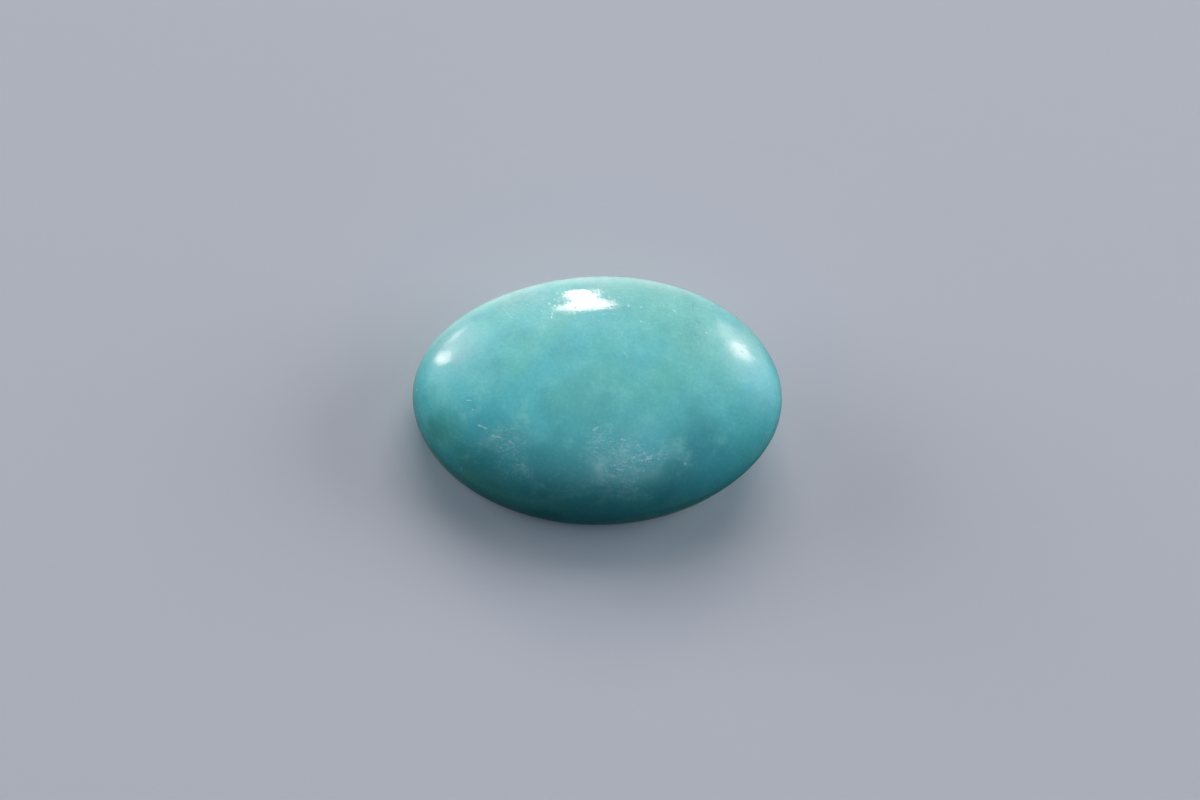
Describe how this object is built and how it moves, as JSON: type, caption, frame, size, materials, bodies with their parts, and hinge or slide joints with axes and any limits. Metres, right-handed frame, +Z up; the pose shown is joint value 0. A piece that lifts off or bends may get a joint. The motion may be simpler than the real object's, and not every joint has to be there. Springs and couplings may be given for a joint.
{
  "type": "turquoise cabochon",
  "caption": "Polished oval turquoise cabochon with a full dome, a softly rounded girdle, a thick wall and a flat ground back to rest on or be set on.",
  "frame": {"origin": "on the surface that the stone lies on, under the middle of its outline", "axes": "+X along the stone towards its thicker end, +Y across it away from the viewer, +Z up through the dome"},
  "size_m": [0.018, 0.012, 0.0075],
  "materials": {
    "turquoise": "waxy polish, soft bluish and greenish clouds, fine scratches and pits, satin ground back"
  },
  "bodies": {
    "root": {"turquoise_stone": "turquoise"}
  },
  "joints": []
}
